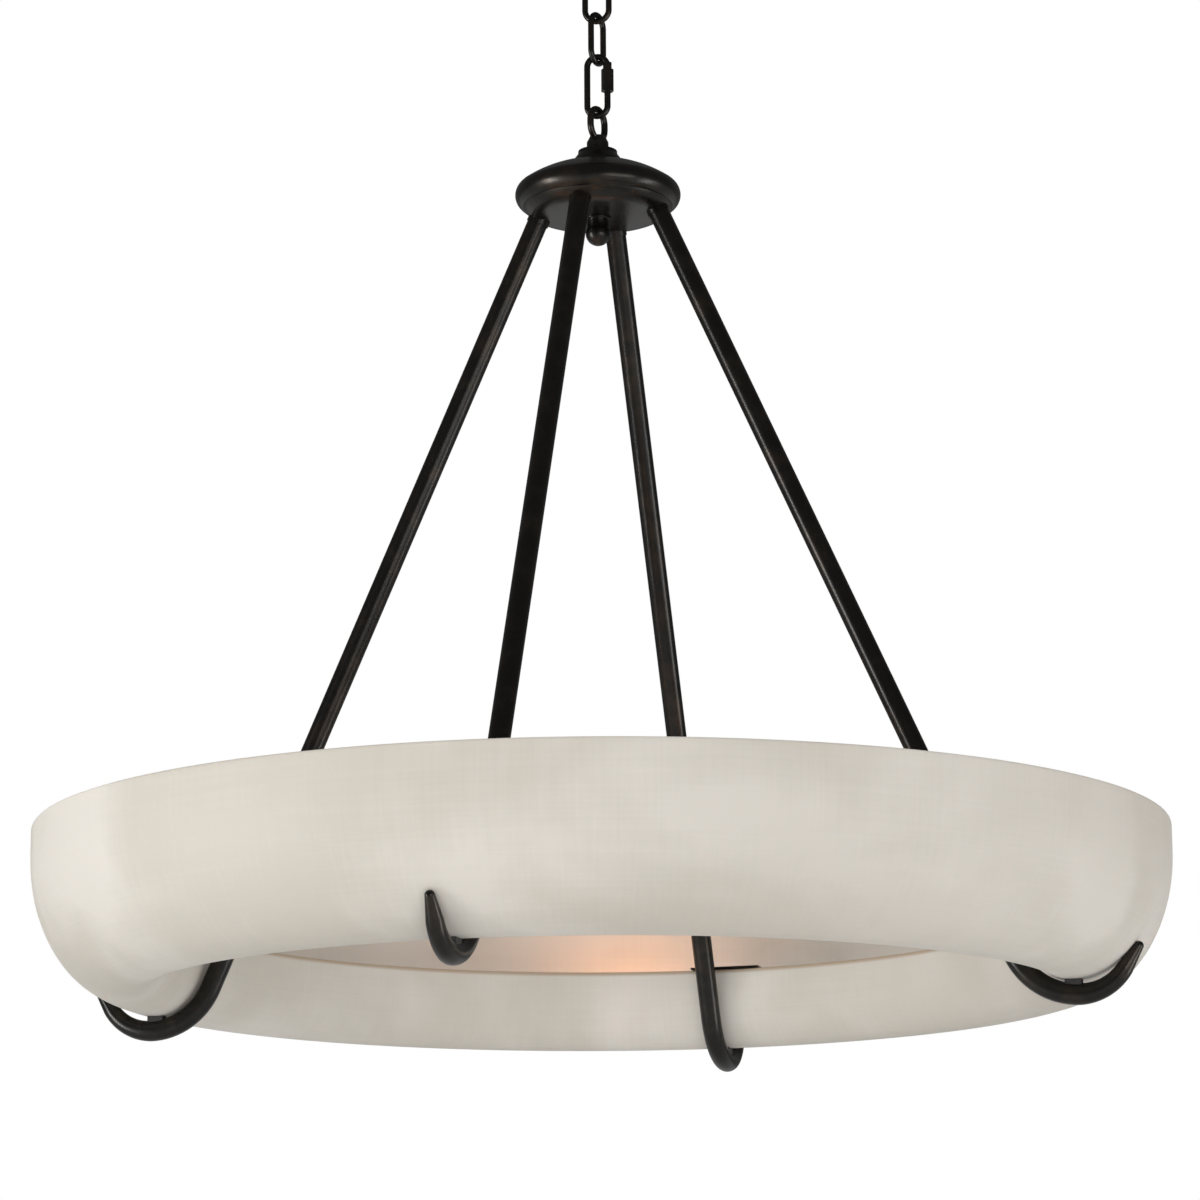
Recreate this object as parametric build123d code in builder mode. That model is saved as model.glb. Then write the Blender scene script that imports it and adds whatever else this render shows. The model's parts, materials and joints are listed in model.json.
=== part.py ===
from build123d import *
import os
from math import asin, atan2, cos, degrees, hypot, radians, sin

os.makedirs("parts", exist_ok=True)

# Ring pendant hung on a chain. Millimetres, ceiling plane at Z = 0, everything below it.
# The four bars stand on the X and Y axes, and each piece that repeats is made by a function.

# Clearances
running_fit = 0.1
seat_gap = 0.3
slip_fit = 0.05

# Ceiling fitting
canopy_radius = 64.0
canopy_height = 30.0
canopy_rim_height = 5.0
canopy_wall = 1.6
crossbar_length = 104.0
crossbar_width = 22.0
crossbar_thickness = 2.5
crossbar_slot_spacing = 88.9
crossbar_slot_length = 12.0
crossbar_slot_width = 4.5
nipple_radius = 5.0
nipple_bore_radius = 3.2
lock_nut_width = 16.0
lock_nut_height = 5.0
ring_nut_height = 6.0
ring_nut_wall = 5.5
collar_above_cover = 6.0
collar_below_nut = 2.2

# Chain
loop_wire = 5.5
loop_width = 23.0
loop_height = 26.0
link_wire = 5.0
link_width = 20.0
link_height = 41.8
quick_wire = 5.2
quick_width = 17.0
quick_height = 51.3
face_turn = 6.4
cross_turn = 76.4
sleeve_length = 19.0
sleeve_flats = 9.5
sleeve_travel = 9.0
sleeve_engagement = 3.0
quick_lug_length = 6.0
quick_lug_radius = 3.6

# Hub
hub_radius = 67.9
hub_lip_radius = 62.3
hub_widest_height = 8.6
hub_shoulder_inset = 5.4
hub_shoulder_height = 19.2
hub_dome_mid_radius = 43.0
hub_dome_mid_height = 30.6
hub_dome_height = 39.8
hub_wall = 3.0
hub_plate_thickness = 4.0
hub_ledge_width = 2.2
hub_ledge_height = 3.0
collar_flange_radius = 21.0
collar_flange_height = 3.0
collar_step_radius = 15.5
collar_step_height = 6.0
loop_neck_radius = 9.0
loop_neck_height = 6.5
finial_ball_radius = 10.3
finial_neck_radius = 6.6
finial_neck_length = 15.0
finial_flange_radius = 9.0
finial_flange_height = 2.0
finial_bore_depth = 18.0

# Bars with their hooks
bar_radius = 8.5
bar_top_radius = 48.0
hub_to_rim = 525.0
hook_bend_radius = 56.6
hook_low_radius = 385.0
claw_bend_radius = 42.0
claw_turn = 56.0
claw_end_radius = 5.5
claw_tip_length = 24.0
claw_tip_radius = 2.2
claw_tip_round = 1.4
socket_depth = 17.0
socket_wall = 3.5
ferrule_length = 11.0
ferrule_wall = 0.8
wire_bore_radius = 5.5
wire_bore_length = 640.0
wire_outlet_radius = 3.5
wire_outlet_from_end = 9.0
set_screw_radius = 2.5
set_screw_length = 5.0
set_screw_height = 10.5

# Alabaster ring
ring_radius = 457.2
ring_height = 130.8
ring_rim_band = 18.0
ring_rim_flare = 2.8
ring_flat_outer_radius = 382.0
ring_flat_inner_radius = 376.4
ring_hole_radius = 334.4
ring_inner_drop = 67.4
ring_wall = 9.0
ring_rim_round = 3.5
pad_thickness = 3.2
pad_length = 13.0
pad_width = 10.0
pad_radius = 380.0

# Lamps, each lying in the trough beside its bar
lamp_radius = 375.0
lamp_drop = 17.6
bracket_thickness = 1.5
bracket_plate_start = 10.0
bracket_leg_radius = 351.0
bracket_leg_width = 30.0
bracket_leg_drop = 32.0
bracket_plate_reach = 17.0
strap_overhang = 3.4
strap_length = 60.0
strap_offset = -13.0
tab_width = 9.0
tab_length = 24.0
tab_screw_from_top = 9.0
screw_radius = 2.0
screw_length = 7.0
screw_head_radius = 3.6
screw_head_height = 2.0
holder_radius = 14.0
holder_length = 35.0
holder_floor = 9.0
holder_stem_radius = 5.0
holder_nut_height = 4.0
holder_nut_width = 14.0
contact_radius = 2.2
contact_height = 1.6
shell_wall = 0.5
cap_radius = 6.95
cap_length = 21.0
cap_cone_length = 3.0
cap_button_radius = 2.4
cap_button_height = 1.8
cap_tip_radius = 3.5
bulb_radius = 13.0
bulb_length = 85.0
bulb_neck_radius = 6.8
bulb_shoulder_length = 12.0

# Places worked out from the sizes above, from the ceiling down
canopy_bottom = -canopy_height
collar_radius = loop_width / 2 + loop_wire / 2 + 0.25
collar_top = canopy_bottom + collar_above_cover
collar_bottom = canopy_bottom - ring_nut_height - collar_below_nut
canopy_loop_top = collar_bottom + loop_wire / 2
canopy_pivot = canopy_loop_top - loop_height
link_tops = []
link_pivots = []
pivot_above = canopy_pivot
wire_above = loop_wire
for _ in range(3):
    link_tops.append(pivot_above + (wire_above + link_wire) / 2 + seat_gap)
    pivot_above = link_tops[-1] - link_height
    link_pivots.append(pivot_above)
    wire_above = link_wire
quick_top = pivot_above + (link_wire + quick_wire) / 2 + seat_gap
quick_pivot = quick_top - quick_height
hub_loop_top = quick_pivot + (quick_wire + loop_wire) / 2 + seat_gap
hub_loop_bottom = hub_loop_top - loop_height
neck_bottom = hub_loop_bottom - loop_wire / 2 - loop_neck_height
collar_flange_bottom = neck_bottom - collar_step_height - collar_flange_height
plate_z = collar_flange_bottom - hub_dome_height
plate_top = plate_z + hub_plate_thickness
rim_z = plate_z - hub_to_rim
ring_bottom = rim_z - ring_height
inner_rim_z = rim_z - ring_inner_drop
hook_low_z = ring_bottom - pad_thickness - bar_radius
bend_centre_z = hook_low_z + hook_bend_radius
claw_centre_z = hook_low_z + claw_bend_radius
lamp_z = inner_rim_z - lamp_drop

# The bar runs straight from the hub's plate to where it meets the hook's bend
reach = hook_low_radius - bar_top_radius
fall = plate_z - bend_centre_z
bar_tilt = atan2(reach, fall) - asin(hook_bend_radius / hypot(reach, fall))
bar_tilt_degrees = degrees(bar_tilt)
straight_length = (hypot(reach, fall) ** 2 - hook_bend_radius**2) ** 0.5

arm_azimuths = (0, 90, 180, 270)


def outward(azimuth):
    """Unit vector from the axis towards an azimuth."""
    return Vector(cos(radians(azimuth)), sin(radians(azimuth)), 0)


def along(azimuth):
    """Unit vector along the ring, counter-clockwise seen from above."""
    return Vector(-sin(radians(azimuth)), cos(radians(azimuth)), 0)


def section_plane(azimuth, offset=0.0):
    """Upright plane with x outwards and y up, moved along the ring by offset."""
    turn = radians(azimuth)
    return Plane(origin=along(azimuth) * offset, x_dir=outward(azimuth), z_dir=(sin(turn), -cos(turn), 0))


def bar_direction(azimuth):
    """Unit vector down along a bar."""
    return outward(azimuth) * sin(bar_tilt) + Vector(0, 0, -cos(bar_tilt))


def bar_normal(azimuth):
    """Unit vector square to a bar, outwards and up."""
    return outward(azimuth) * cos(bar_tilt) + Vector(0, 0, sin(bar_tilt))


def bar_point(azimuth, distance):
    """Point on a bar's centre line, measured down from the underside of the hub's plate."""
    return outward(azimuth) * bar_top_radius + Vector(0, 0, plate_z) + bar_direction(azimuth) * distance


def across_bar(azimuth, distance):
    """Plane square to a bar, facing down along it."""
    return Plane(origin=bar_point(azimuth, distance), x_dir=along(azimuth), z_dir=bar_direction(azimuth))


def lamp_section(azimuth):
    """Upright plane through a lamp's axis, with x along the ring and y up."""
    centre = outward(azimuth) * lamp_radius + Vector(0, 0, lamp_z)
    return Plane(origin=centre, x_dir=along(azimuth), z_dir=outward(azimuth))


def lamp_axis(azimuth):
    """Axis of a lamp, along the ring."""
    return Axis(outward(azimuth) * lamp_radius + Vector(0, 0, lamp_z), along(azimuth))


def across_lamp(azimuth, distance):
    """Plane square to a lamp's axis, x outwards, facing along the ring."""
    centre = outward(azimuth) * lamp_radius + Vector(0, 0, lamp_z) + along(azimuth) * distance
    return Plane(origin=centre, x_dir=outward(azimuth), z_dir=along(azimuth))


def save(piece, name):
    """Labels a finished piece and writes its file."""
    piece.label = name
    export_step(piece, f"parts/{name}.step")


def oval_wire(turn, top_z, height, width, wire):
    """Closed oval of round wire in an upright plane turned about the axis."""
    half_width = width / 2
    half_straight = (height - width) / 2
    plane = Plane(
        origin=(0, 0, top_z - height / 2),
        x_dir=outward(turn),
        z_dir=(sin(radians(turn)), -cos(radians(turn)), 0),
    )
    with BuildPart() as oval:
        with BuildLine(plane) as path:
            Line((half_width, 0), (half_width, half_straight))
            ThreePointArc(
                (half_width, half_straight),
                (0, half_straight + half_width),
                (-half_width, half_straight),
            )
            Line((-half_width, half_straight), (-half_width, -half_straight))
            ThreePointArc(
                (-half_width, -half_straight),
                (0, -half_straight - half_width),
                (half_width, -half_straight),
            )
            Line((half_width, -half_straight), (half_width, 0))
        centre_line = path.wires()[0]
        with BuildSketch(Plane(origin=centre_line @ 0, z_dir=centre_line % 0)):
            Circle(wire / 2)
        sweep(path=centre_line)
    return oval.part


def turned_piece(profile):
    """Solid of revolution about the lamp's upright axis from outline points, radius and height."""
    with BuildPart() as turned:
        with BuildSketch(Plane.XZ):
            with BuildLine():
                Polyline(*profile, close=True)
            make_face()
        revolve(axis=Axis.Z)
    return turned.part


# Crossbar under the ceiling box
with BuildPart() as ceiling_crossbar:
    with BuildSketch(Plane.XY.offset(-crossbar_thickness)):
        SlotOverall(crossbar_length, crossbar_width)
        with GridLocations(crossbar_slot_spacing, 0, 2, 1):
            SlotOverall(crossbar_slot_length, crossbar_slot_width, mode=Mode.SUBTRACT)
        Circle(nipple_radius + slip_fit, mode=Mode.SUBTRACT)
    extrude(amount=crossbar_thickness)
save(ceiling_crossbar.part, "ceiling_crossbar")

# Threaded tube from the crossbar down into the loop's collar
canopy_bore_end = collar_bottom + loop_wire / 2
with BuildPart() as canopy_nipple:
    with BuildSketch(Plane.XY.offset(canopy_bore_end + seat_gap)):
        Circle(nipple_radius)
        Circle(nipple_bore_radius, mode=Mode.SUBTRACT)
    extrude(amount=-canopy_bore_end - 2 * seat_gap)
save(canopy_nipple.part, "canopy_nipple")

# Nuts that lock the tube to the crossbar and to the collar
with BuildPart() as canopy_lock_nuts:
    for nut_bottom in (-crossbar_thickness - lock_nut_height, collar_top):
        with BuildSketch(Plane.XY.offset(nut_bottom)):
            RegularPolygon(lock_nut_width / 2, 6, major_radius=False)
            Circle(nipple_radius + slip_fit, mode=Mode.SUBTRACT)
        extrude(amount=lock_nut_height)
save(canopy_lock_nuts.part, "canopy_lock_nuts")

# Loop with its threaded collar, which carries the chain
with BuildPart() as canopy_loop:
    add(oval_wire(face_turn, canopy_loop_top, loop_height, loop_width, loop_wire))
    with BuildSketch(Plane.XY.offset(collar_bottom)):
        Circle(collar_radius)
    extrude(amount=collar_top - collar_bottom)
    with BuildSketch(Plane.XY.offset(collar_top)):
        Circle(nipple_radius + slip_fit)
    extrude(amount=canopy_bore_end - collar_top, mode=Mode.SUBTRACT)
    chamfer(canopy_loop.faces().filter_by(Plane.XY).sort_by(Axis.Z)[-1].outer_wire().edges(), 1)
save(canopy_loop.part, "canopy_loop")

# Canopy, a dished cover that slides up to the ceiling round the collar
canopy_hole_radius = collar_radius + running_fit + seat_gap
canopy_flat_radius = collar_radius + ring_nut_wall
with BuildPart() as canopy_cover:
    with BuildSketch(Plane.XZ):
        with BuildLine():
            outer_rise = EllipticalCenterArc(
                (canopy_flat_radius, -canopy_rim_height),
                canopy_radius - canopy_flat_radius,
                canopy_height - canopy_rim_height,
                start_angle=270,
                arc_size=90,
            )
            inner_rise = EllipticalCenterArc(
                (canopy_flat_radius, -canopy_rim_height),
                canopy_radius - canopy_flat_radius - canopy_wall,
                canopy_height - canopy_rim_height - canopy_wall,
                start_angle=270,
                arc_size=90,
            )
            Polyline(
                inner_rise @ 1,
                (canopy_radius - canopy_wall, 0),
                (canopy_radius, 0),
                outer_rise @ 1,
            )
            Polyline(
                outer_rise @ 0,
                (canopy_hole_radius, canopy_bottom),
                (canopy_hole_radius, canopy_bottom + canopy_wall),
                inner_rise @ 0,
            )
        make_face()
    revolve(axis=Axis.Z)
save(canopy_cover.part, "canopy_cover")

# Ring nut that holds the canopy up
ring_nut_bore = collar_radius + running_fit
with BuildPart() as canopy_ring_nut:
    with BuildSketch(Plane.XY.offset(canopy_bottom - ring_nut_height)):
        Circle(ring_nut_bore + ring_nut_wall)
        Circle(ring_nut_bore, mode=Mode.SUBTRACT)
    extrude(amount=ring_nut_height)
    nut_rims = canopy_ring_nut.edges().filter_by(GeomType.CIRCLE).sort_by(SortBy.RADIUS)[-2:]
    chamfer(nut_rims, 1)
save(canopy_ring_nut.part, "canopy_ring_nut")

# Chain links, turned in turn
for number, (top_z, turn) in enumerate(zip(link_tops, (cross_turn, face_turn, cross_turn)), 1):
    chain_link = oval_wire(turn, top_z, link_height, link_width, link_wire)
    save(chain_link, f"chain_link_{number}")

# Quick link: an oval left open on one side, where a hexagon sleeve closes it
quick_half_width = quick_width / 2
quick_half_straight = (quick_height - quick_width) / 2
quick_centre = quick_top - quick_height / 2
sleeve_top = quick_half_straight - quick_lug_length + 3
sleeve_bottom = sleeve_top - sleeve_length
upper_stud_end = sleeve_top - sleeve_engagement
lower_stud_end = sleeve_top - sleeve_travel
quick_plane = Plane(
    origin=(0, 0, quick_centre),
    x_dir=outward(face_turn),
    z_dir=(sin(radians(face_turn)), -cos(radians(face_turn)), 0),
)
stud_axis = outward(face_turn) * quick_half_width
with BuildPart() as quick_link:
    with BuildLine(quick_plane) as quick_path:
        Line((quick_half_width, upper_stud_end), (quick_half_width, quick_half_straight))
        ThreePointArc(
            (quick_half_width, quick_half_straight),
            (0, quick_height / 2),
            (-quick_half_width, quick_half_straight),
        )
        Line((-quick_half_width, quick_half_straight), (-quick_half_width, -quick_half_straight))
        ThreePointArc(
            (-quick_half_width, -quick_half_straight),
            (0, -quick_height / 2),
            (quick_half_width, -quick_half_straight),
        )
        Line((quick_half_width, -quick_half_straight), (quick_half_width, lower_stud_end))
    quick_line = quick_path.wires()[0]
    with BuildSketch(Plane(origin=quick_line @ 0, z_dir=quick_line % 0)):
        Circle(quick_wire / 2)
    sweep(path=quick_line)
    with BuildSketch(Plane.XY.offset(quick_centre + sleeve_top + seat_gap)):
        with Locations((stud_axis.X, stud_axis.Y)):
            Circle(quick_lug_radius)
    extrude(amount=quick_lug_length - seat_gap)
save(quick_link.part, "quick_link")

with BuildPart() as quick_link_sleeve:
    with BuildSketch(Plane.XY.offset(quick_centre + sleeve_bottom)):
        with Locations((stud_axis.X, stud_axis.Y)):
            RegularPolygon(sleeve_flats / 2, 6, major_radius=False, rotation=face_turn)
            Circle(quick_wire / 2 + running_fit, mode=Mode.SUBTRACT)
    extrude(amount=sleeve_length)
    with BuildSketch(Plane.XY.offset(quick_centre + sleeve_bottom)):
        with Locations((stud_axis.X, stud_axis.Y)):
            Circle(sleeve_flats / 2 * 1.09)
    extrude(amount=sleeve_length, mode=Mode.INTERSECT)
save(quick_link_sleeve.part, "quick_link_sleeve")

# Loop on top of the hub, on a short neck
neck_bore_top = hub_loop_bottom
with BuildPart() as hub_loop:
    add(oval_wire(cross_turn, hub_loop_top, loop_height, loop_width, loop_wire))
    with BuildSketch(Plane.XZ):
        with BuildLine():
            Polyline(
                (0, neck_bottom),
                (loop_neck_radius, neck_bottom),
                (loop_neck_radius, neck_bottom + loop_neck_height),
                (loop_neck_radius - loop_wire / 2, hub_loop_bottom + loop_wire / 2),
                (0, hub_loop_bottom + loop_wire / 2),
                close=True,
            )
        make_face()
    revolve(axis=Axis.Z)
    with BuildSketch(Plane.XY.offset(neck_bottom)):
        Circle(nipple_radius + slip_fit)
    extrude(amount=neck_bore_top - neck_bottom, mode=Mode.SUBTRACT)
save(hub_loop.part, "hub_loop")

# Stepped collar between the loop and the dome
with BuildPart() as hub_collar:
    with BuildSketch(Plane.XY.offset(collar_flange_bottom)):
        Circle(collar_flange_radius)
    extrude(amount=collar_flange_height)
    with BuildSketch(Plane.XY.offset(collar_flange_bottom + collar_flange_height)):
        Circle(collar_step_radius)
    extrude(amount=collar_step_height)
    collar_rims = hub_collar.edges().filter_by(GeomType.CIRCLE).group_by(Axis.Z)
    fillet(collar_rims[-1], 1.2)
    fillet(hub_collar.edges().filter_by(GeomType.CIRCLE).sort_by(SortBy.RADIUS)[-2:], 1.0)
    with BuildSketch(Plane.XY.offset(collar_flange_bottom)):
        Circle(nipple_radius + slip_fit)
    extrude(amount=collar_flange_height + collar_step_height, mode=Mode.SUBTRACT)
save(hub_collar.part, "hub_collar")

# Dome of the hub, with a ledge inside its lip for the plate
dome_top = plate_z + hub_dome_height
shoulder = (hub_radius - hub_shoulder_inset, plate_z + hub_shoulder_height)
inner_shoulder = (shoulder[0] - 0.8 * hub_wall, shoulder[1] - 0.7 * hub_wall)
ledge_radius = hub_lip_radius - hub_ledge_width
with BuildPart() as hub_cover:
    with BuildSketch(Plane.XZ):
        with BuildLine():
            ThreePointArc(
                (hub_lip_radius, plate_z),
                (hub_radius, plate_z + hub_widest_height),
                shoulder,
            )
            ThreePointArc(
                shoulder,
                (hub_dome_mid_radius, plate_z + hub_dome_mid_height),
                (collar_flange_radius, dome_top),
            )
            Polyline(
                (collar_flange_radius, dome_top),
                (nipple_radius + running_fit, dome_top),
                (nipple_radius + running_fit, dome_top - hub_wall),
                (collar_flange_radius - 1, dome_top - hub_wall),
            )
            ThreePointArc(
                (collar_flange_radius - 1, dome_top - hub_wall),
                (hub_dome_mid_radius - 0.45 * hub_wall, plate_z + hub_dome_mid_height - 0.9 * hub_wall),
                inner_shoulder,
            )
            Polyline(
                inner_shoulder,
                (ledge_radius, plate_top + hub_ledge_height),
                (ledge_radius, plate_top),
                (hub_lip_radius, plate_top),
                (hub_lip_radius, plate_z),
            )
        make_face()
    revolve(axis=Axis.Z)
save(hub_cover.part, "hub_cover")

# Plate that closes the hub from below, with a slanted socket for each bar
with BuildPart() as hub_plate:
    with BuildSketch(Plane.XY.offset(plate_z)):
        Circle(hub_lip_radius - seat_gap)
    extrude(amount=hub_plate_thickness)
    for azimuth in arm_azimuths:
        with BuildSketch(across_bar(azimuth, bar_radius)):
            Circle(bar_radius + socket_wall)
        extrude(amount=-socket_depth - bar_radius)
    split(bisect_by=Plane.XY.offset(plate_z), keep=Keep.TOP)
    for azimuth in arm_azimuths:
        with BuildSketch(across_bar(azimuth, 2 * bar_radius)):
            Circle(bar_radius + slip_fit)
        extrude(amount=-socket_depth - 3 * bar_radius, mode=Mode.SUBTRACT)
        screw_point = bar_point(azimuth, -set_screw_height)
        with BuildSketch(Plane(origin=screw_point, z_dir=bar_normal(azimuth))):
            Circle(set_screw_radius + slip_fit)
        extrude(amount=bar_radius + 2 * socket_wall, mode=Mode.SUBTRACT)
    with BuildSketch(Plane.XY.offset(plate_z)):
        Circle(nipple_radius + slip_fit)
    extrude(amount=hub_plate_thickness, mode=Mode.SUBTRACT)
save(hub_plate.part, "hub_plate")

# Grub screws that hold the bars in their sockets
with BuildPart() as bar_set_screws:
    for azimuth in arm_azimuths:
        screw_start = bar_point(azimuth, -set_screw_height) + bar_normal(azimuth) * bar_radius
        with BuildSketch(Plane(origin=screw_start, z_dir=bar_normal(azimuth))):
            Circle(set_screw_radius)
        extrude(amount=set_screw_length)
        with BuildSketch(Plane(origin=screw_start + bar_normal(azimuth) * set_screw_length, z_dir=bar_normal(azimuth))):
            RegularPolygon(set_screw_radius / 2, 6)
        extrude(amount=-set_screw_radius, mode=Mode.SUBTRACT)
save(bar_set_screws.part, "bar_set_screws")

# Threaded tube that clamps the hub together, its nuts and the ball nut below
finial_top = plate_z
nipple_bottom = plate_z - finial_bore_depth + seat_gap
with BuildPart() as hub_nipple:
    with BuildSketch(Plane.XY.offset(nipple_bottom)):
        Circle(nipple_radius)
        Circle(nipple_bore_radius, mode=Mode.SUBTRACT)
    extrude(amount=neck_bore_top - seat_gap - nipple_bottom)
save(hub_nipple.part, "hub_nipple")

with BuildPart() as hub_lock_nuts:
    for nut_bottom in (plate_top, dome_top - hub_wall - lock_nut_height):
        with BuildSketch(Plane.XY.offset(nut_bottom)):
            RegularPolygon(lock_nut_width / 2, 6, major_radius=False)
            Circle(nipple_radius + slip_fit, mode=Mode.SUBTRACT)
        extrude(amount=lock_nut_height)
save(hub_lock_nuts.part, "hub_lock_nuts")

ball_centre = finial_top - finial_neck_length - finial_ball_radius + 2.3
with BuildPart() as hub_finial:
    with BuildSketch(Plane.XY.offset(finial_top - finial_flange_height)):
        Circle(finial_flange_radius)
    extrude(amount=finial_flange_height)
    with BuildSketch(Plane.XY.offset(ball_centre)):
        Circle(finial_neck_radius)
    extrude(amount=finial_top - ball_centre)
    with BuildSketch(Plane.XZ):
        with BuildLine():
            ball_side = CenterArc((0, ball_centre), finial_ball_radius, -90, 180)
            Line(ball_side @ 1, ball_side @ 0)
        make_face()
    revolve(axis=Axis.Z)
    with BuildSketch(Plane.XY.offset(finial_top)):
        Circle(nipple_radius + slip_fit)
    extrude(amount=-finial_bore_depth, mode=Mode.SUBTRACT)
save(hub_finial.part, "hub_finial")


# The bracket's strap lies over the ring's inner rim, and its tab on the back of the bar
strap_bottom = inner_rim_z + seat_gap
strap_top = strap_bottom + bracket_thickness
tab_face = bar_radius + slip_fit
tab_low_distance = (plate_z + tab_face * sin(bar_tilt) - strap_top) / cos(bar_tilt)
tab_head_distance = tab_low_distance - tab_length


def beside_bar(distance, stand):
    """Radius and height of a point a distance down a bar and standing off its centre line."""
    return (
        bar_top_radius + distance * sin(bar_tilt) + stand * cos(bar_tilt),
        plate_z - distance * cos(bar_tilt) + stand * sin(bar_tilt),
    )


def beside_bar_at(height, stand):
    """Radius and height of the point at a given height on a line that stands off a bar."""
    distance = (plate_z + stand * sin(bar_tilt) - height) / cos(bar_tilt)
    return beside_bar(distance, stand)


def tab_screw_point(azimuth):
    """Point on the bar's back where the bracket's screw enters."""
    distance = tab_head_distance + tab_screw_from_top
    return bar_point(azimuth, distance) + bar_normal(azimuth) * bar_radius


def make_bar(azimuth):
    """Bar from the hub's socket down through the ring's hole and up round it in a tapered claw."""
    bend_centre = outward(azimuth) * hook_low_radius + Vector(0, 0, bend_centre_z)
    with BuildPart() as bar:
        with BuildSketch(across_bar(azimuth, -socket_depth)):
            Circle(bar_radius)
        extrude(amount=socket_depth + straight_length)
        with BuildSketch(across_bar(azimuth, straight_length)):
            Circle(bar_radius)
        revolve(axis=Axis(bend_centre, -along(azimuth)), revolution_arc=90 - bar_tilt_degrees)
        with BuildLine(section_plane(azimuth)) as claw:
            CenterArc((hook_low_radius, claw_centre_z), claw_bend_radius, 270, claw_turn)
        claw_line = claw.wires()[0]
        with BuildSketch(Plane(origin=claw_line @ 0, x_dir=along(azimuth), z_dir=claw_line % 0)):
            Circle(bar_radius)
        tip_start = Plane(origin=claw_line @ 1, x_dir=along(azimuth), z_dir=claw_line % 1)
        with BuildSketch(tip_start):
            Circle(claw_end_radius)
        sweep(path=claw_line, multisection=True)
        with BuildSketch(tip_start):
            Circle(claw_end_radius)
        with BuildSketch(tip_start.offset(claw_tip_length)):
            Circle(claw_tip_radius)
        loft()
        fillet(bar.edges().filter_by(GeomType.CIRCLE).sort_by(SortBy.RADIUS)[0], claw_tip_round)
        with BuildSketch(across_bar(azimuth, -socket_depth)):
            Circle(wire_bore_radius)
        extrude(amount=wire_bore_length, mode=Mode.SUBTRACT)
        outlet = bar_point(azimuth, wire_bore_length - socket_depth - wire_outlet_from_end)
        with BuildSketch(Plane(origin=outlet, z_dir=bar_normal(azimuth))):
            Circle(wire_outlet_radius)
        extrude(amount=2 * bar_radius, mode=Mode.SUBTRACT)
        with BuildSketch(Plane(origin=tab_screw_point(azimuth), z_dir=bar_normal(azimuth))):
            Circle(screw_radius + slip_fit)
        extrude(amount=-screw_length - seat_gap, mode=Mode.SUBTRACT)
    return bar.part


hook_bars = [make_bar(azimuth) for azimuth in arm_azimuths]
for number, hook_bar in enumerate(hook_bars, 1):
    save(hook_bar, f"hook_bar_{number}")

# Ferrules round the bars, cut to the plate's underside
with BuildPart() as bar_ferrules:
    for azimuth in arm_azimuths:
        with BuildSketch(across_bar(azimuth, ferrule_length)):
            Circle(bar_radius + ferrule_wall)
            Circle(bar_radius + slip_fit, mode=Mode.SUBTRACT)
        extrude(amount=-ferrule_length - bar_radius)
    split(bisect_by=Plane.XY.offset(plate_z), keep=Keep.BOTTOM)
save(bar_ferrules.part, "bar_ferrules")

# Alabaster ring: an open trough, lower on the side of its hole
outer_reach = ring_radius - ring_rim_flare - ring_flat_outer_radius
outer_rise = ring_height - ring_rim_band
inner_reach = ring_flat_inner_radius - ring_hole_radius
inner_rise = ring_height - ring_inner_drop
outer_centre = (ring_flat_outer_radius, rim_z - ring_rim_band)
inner_centre = (ring_flat_inner_radius, inner_rim_z)
with BuildPart() as alabaster_ring:
    with BuildSketch(Plane.XZ):
        with BuildLine():
            outside = EllipticalCenterArc(outer_centre, outer_reach, outer_rise, start_angle=270, arc_size=90)
            hole_side = EllipticalCenterArc(inner_centre, inner_reach, inner_rise, start_angle=180, arc_size=90)
            outer_hollow = EllipticalCenterArc(
                outer_centre,
                outer_reach - ring_wall,
                outer_rise - ring_wall,
                start_angle=270,
                arc_size=90,
            )
            inner_hollow = EllipticalCenterArc(
                inner_centre,
                inner_reach - ring_wall,
                inner_rise - ring_wall,
                start_angle=180,
                arc_size=90,
            )
            Polyline(
                outside @ 1,
                (ring_radius, rim_z),
                (ring_radius - ring_wall, rim_z),
                outer_hollow @ 1,
            )
            Line(outer_hollow @ 0, inner_hollow @ 1)
            Line(inner_hollow @ 0, hole_side @ 0)
            Line(hole_side @ 1, outside @ 0)
        make_face()
    revolve(axis=Axis.Z)
    rim_edges = alabaster_ring.edges().filter_by(GeomType.CIRCLE)
    outer_rim_edges = [edge for edge in rim_edges if abs(edge.center().Z - rim_z) < 0.01]
    inner_rim_edges = [
        edge
        for edge in rim_edges
        if abs(edge.center().Z - inner_rim_z) < 0.01 and edge.radius < ring_flat_inner_radius
    ]
    fillet(outer_rim_edges + inner_rim_edges, ring_rim_round)
save(alabaster_ring.part, "alabaster_ring")

# Soft pads between the hooks and the ring
with BuildPart() as hook_pads:
    for azimuth, hook_bar in zip(arm_azimuths, hook_bars):
        with BuildSketch(section_plane(azimuth, pad_width / 2)):
            with Locations((pad_radius, ring_bottom - pad_thickness)):
                Rectangle(pad_length, 2 * pad_thickness)
        extrude(amount=pad_width)
        add(hook_bar, mode=Mode.SUBTRACT)
save(hook_pads.part, "hook_pads")


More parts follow.
